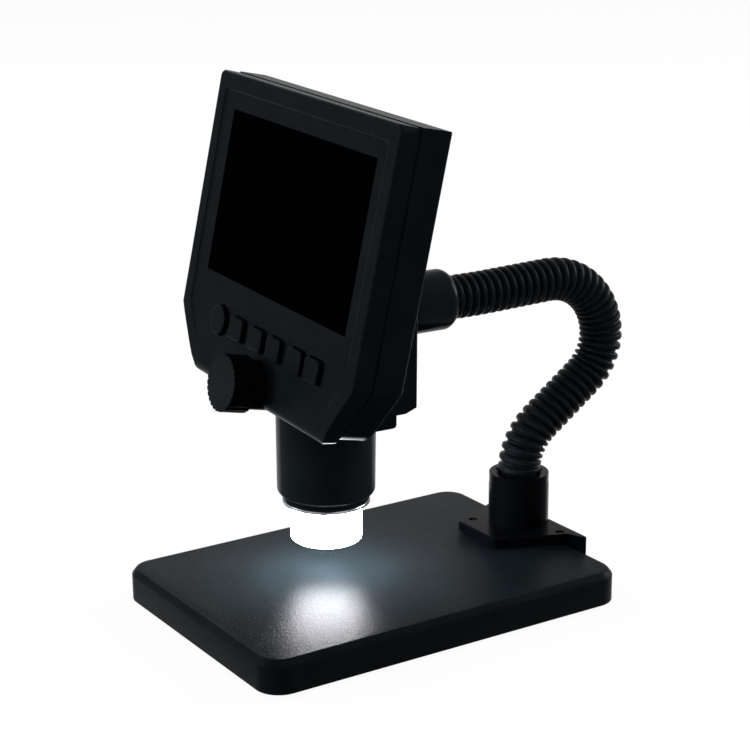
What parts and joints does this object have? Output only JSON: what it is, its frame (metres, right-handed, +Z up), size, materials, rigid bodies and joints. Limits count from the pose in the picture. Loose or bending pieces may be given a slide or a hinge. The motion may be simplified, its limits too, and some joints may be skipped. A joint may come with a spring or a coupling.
{
  "type": "lcd digital microscope",
  "caption": "Digital microscope: a tilted screen housing with buttons, a focus knob and a lit barrel, on a ribbed gooseneck over a flat rectangular base.",
  "frame": {"origin": "centre of the base's flat underside, at the level of its bottom cover; the rubber feet stand 1 mm below it", "axes": "+Z up, square to the base's top; +Y to the rear, towards the post; the user sits at -Y and +X is on the user's right"},
  "size_m": [0.1263, 0.1786, 0.1818],
  "materials": {
    "base_plastic": "satin moulded black",
    "head_plastic": "fine-grained satin black",
    "barrel_plastic": "satin black",
    "stand_plastic": "satin black, slightly grey",
    "sleeve_plastic": "semi-gloss black",
    "neck_plastic": "ribbed satin black",
    "button_plastic": "satin black",
    "knob_plastic": "satin black",
    "foot_rubber": "black rubber",
    "ballast_steel": "plain sheet steel",
    "screw_steel": "zinc-plated",
    "shaft_steel": "turned steel",
    "bush_acetal": "natural acetal",
    "screen_glass": "smoked gloss",
    "lcd_black": "dark display",
    "circuit_board": "green solder mask",
    "battery_foil": "silver foil pouch",
    "switch_metal": "stamped tin plate",
    "socket_metal": "bright plated",
    "rim_gloss": "polished dark ring",
    "diffuser_milky": "milky white",
    "led_phosphor": "warm white",
    "carriage_plastic": "black acetal",
    "lens_glass": "coated glass",
    "ring_aluminium": "black anodised",
    "sensor_glass": "dark sensor cover"
  },
  "bodies": {
    "stand": {"base_shell": "base_plastic", "base_cover": "base_plastic", "ballast_plate": "ballast_steel", "base_feet": "foot_rubber", "cover_screws": "screw_steel", "post": "stand_plastic", "post_collar": "stand_plastic", "post_pad": "foot_rubber", "post_screws": "screw_steel", "neck_link_1": "neck_plastic"},
    "neck_2": {"neck_link_2": "neck_plastic"},
    "neck_3": {"neck_link_3": "neck_plastic"},
    "neck_4": {"neck_link_4": "neck_plastic"},
    "neck_5": {"neck_link_5": "neck_plastic"},
    "neck_6": {"neck_link_6": "neck_plastic"},
    "neck_7": {"neck_link_7": "neck_plastic"},
    "neck_8": {"neck_link_8": "neck_plastic"},
    "neck_9": {"neck_link_9": "neck_plastic", "swivel_clip": "shaft_steel"},
    "head": {"front_bezel": "head_plastic", "rear_shell": "head_plastic", "housing_screws": "screw_steel", "screen_window": "screen_glass", "lcd_panel": "lcd_black", "main_board": "circuit_board", "battery": "battery_foil", "key_board": "circuit_board", "tact_switches": "switch_metal", "usb_socket": "socket_metal", "card_socket": "socket_metal", "dimmer_axle": "shaft_steel", "shaft_bush": "bush_acetal", "neck_sleeve": "sleeve_plastic", "swivel_bush": "bush_acetal", "barrel": "barrel_plastic", "barrel_skirt": "barrel_plastic", "rim_ring": "rim_gloss", "diffuser": "diffuser_milky", "led_board": "circuit_board", "leds": "led_phosphor"},
    "power_button": {"power_button": "button_plastic"},
    "menu_button": {"menu_button": "button_plastic"},
    "mode_button": {"mode_button": "button_plastic"},
    "up_button": {"up_button": "button_plastic"},
    "down_button": {"down_button": "button_plastic"},
    "ok_button": {"ok_button": "button_plastic"},
    "focus_drive": {"focus_knob": "knob_plastic", "focus_shaft": "shaft_steel", "shaft_clip": "shaft_steel"},
    "dimmer_wheel": {"dimmer_wheel": "knob_plastic"},
    "carriage": {"lens_carriage": "carriage_plastic", "objective_lens": "lens_glass", "lens_ring": "ring_aluminium", "sensor_board": "circuit_board", "image_sensor": "sensor_glass"}
  },
  "joints": [
    {"name": "neck_bend_1", "type": "hinge", "parent": "stand", "child": "neck_2", "pos_m": [0.0001, 0.06628, 0.04383], "axis": [0.9988, -0.0482, 0], "range_deg": [-7, 5]},
    {"name": "neck_bend_2", "type": "hinge", "parent": "neck_2", "child": "neck_3", "pos_m": [0.00061, 0.07689, 0.05508], "axis": [-0.9988, 0.0482, 0], "range_deg": [-5, 7]},
    {"name": "neck_turn_3", "type": "hinge", "parent": "neck_3", "child": "neck_4", "pos_m": [0.00121, 0.08945, 0.06447], "axis": [-0.0288, -0.5976, 0.8013], "range_deg": [-6, 6]},
    {"name": "neck_bend_4", "type": "hinge", "parent": "neck_4", "child": "neck_5", "pos_m": [0.00167, 0.09887, 0.07659], "axis": [0.9988, -0.0482, 0], "range_deg": [-7, 5]},
    {"name": "neck_bend_5", "type": "hinge", "parent": "neck_5", "child": "neck_6", "pos_m": [0.00159, 0.09724, 0.09184], "axis": [-0.9988, 0.0482, 0], "range_deg": [-5, 7]},
    {"name": "neck_turn_6", "type": "hinge", "parent": "neck_6", "child": "neck_7", "pos_m": [0.00106, 0.0863, 0.10267], "axis": [-0.0208, -0.4314, -0.9019], "range_deg": [-6, 6]},
    {"name": "neck_bend_7", "type": "hinge", "parent": "neck_7", "child": "neck_8", "pos_m": [0.00032, 0.07097, 0.10482], "axis": [0.9988, -0.0482, 0], "range_deg": [-7, 5]},
    {"name": "neck_bend_8", "type": "hinge", "parent": "neck_8", "child": "neck_9", "pos_m": [-0.00043, 0.0553, 0.10427], "axis": [-0.9988, 0.0482, 0], "range_deg": [-5, 7]},
    {"name": "head_swivel", "type": "hinge", "parent": "neck_9", "child": "head", "pos_m": [-0.00224, 0.01788, 0.10394], "axis": [-0.0482, -0.9988, 0], "range_deg": [-20, 20]},
    {"name": "power_press", "type": "slide", "parent": "head", "child": "power_button", "axis": [0.0426, 0.9772, -0.2079], "range_m": [0, 0.0006], "stiffness_N_per_m": 400, "springref_m": -0.001},
    {"name": "menu_press", "type": "slide", "parent": "head", "child": "menu_button", "axis": [0.0426, 0.9772, -0.2079], "range_m": [0, 0.0006], "stiffness_N_per_m": 400, "springref_m": -0.001},
    {"name": "mode_press", "type": "slide", "parent": "head", "child": "mode_button", "axis": [0.0426, 0.9772, -0.2079], "range_m": [0, 0.0006], "stiffness_N_per_m": 400, "springref_m": -0.001},
    {"name": "up_press", "type": "slide", "parent": "head", "child": "up_button", "axis": [0.0426, 0.9772, -0.2079], "range_m": [0, 0.0006], "stiffness_N_per_m": 400, "springref_m": -0.001},
    {"name": "down_press", "type": "slide", "parent": "head", "child": "down_button", "axis": [0.0426, 0.9772, -0.2079], "range_m": [0, 0.0006], "stiffness_N_per_m": 400, "springref_m": -0.001},
    {"name": "ok_press", "type": "slide", "parent": "head", "child": "ok_button", "axis": [0.0426, 0.9772, -0.2079], "range_m": [0, 0.0006], "stiffness_N_per_m": 400, "springref_m": -0.001},
    {"name": "focus_turn", "type": "hinge", "parent": "head", "child": "focus_drive", "pos_m": [-0.00556, -0.04226, 0.08447], "axis": [-0.0426, -0.9772, 0.2079], "range_deg": [-90, 90]},
    {"name": "carriage_slide", "type": "slide", "parent": "head", "child": "carriage", "axis": [0.0216, -0.001, 0.9998], "range_m": [-0.0048, 0.0048]},
    {"name": "dimmer_turn", "type": "hinge", "parent": "head", "child": "dimmer_wheel", "pos_m": [-0.0599, -0.02245, 0.10685], "axis": [-0.0426, -0.9772, 0.2079], "range_deg": [-135, 135]}
  ],
  "couplings": [
    {"joint": "focus_turn", "follows": "carriage_slide", "rad_per_m": 326.05}
  ]
}
